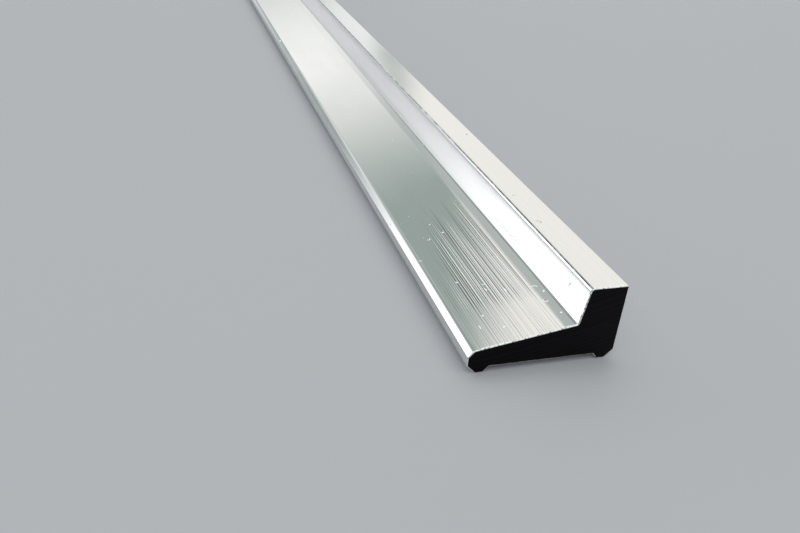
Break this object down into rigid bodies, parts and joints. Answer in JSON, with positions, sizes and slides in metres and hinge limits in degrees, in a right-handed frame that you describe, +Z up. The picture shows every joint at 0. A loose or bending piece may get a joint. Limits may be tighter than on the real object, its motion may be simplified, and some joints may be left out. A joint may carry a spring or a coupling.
{
  "type": "aluminium extrusion profile",
  "caption": "Straight aluminium edge profile with a sloping rebate along its front, a tall flat-topped back and a shallow recess between two narrow feet.",
  "frame": {"origin": "on the floor under the middle of the bar, halfway along and halfway across it", "axes": "+X along the bar, +Y across it from the thin front edge to the tall back face, +Z up"},
  "size_m": [1, 0.019, 0.01],
  "materials": {
    "bright_aluminium": "bright extruded surface with fine lengthwise die lines, darker sawn ends"
  },
  "bodies": {
    "root": {"profile_bar": "bright_aluminium"}
  },
  "joints": []
}
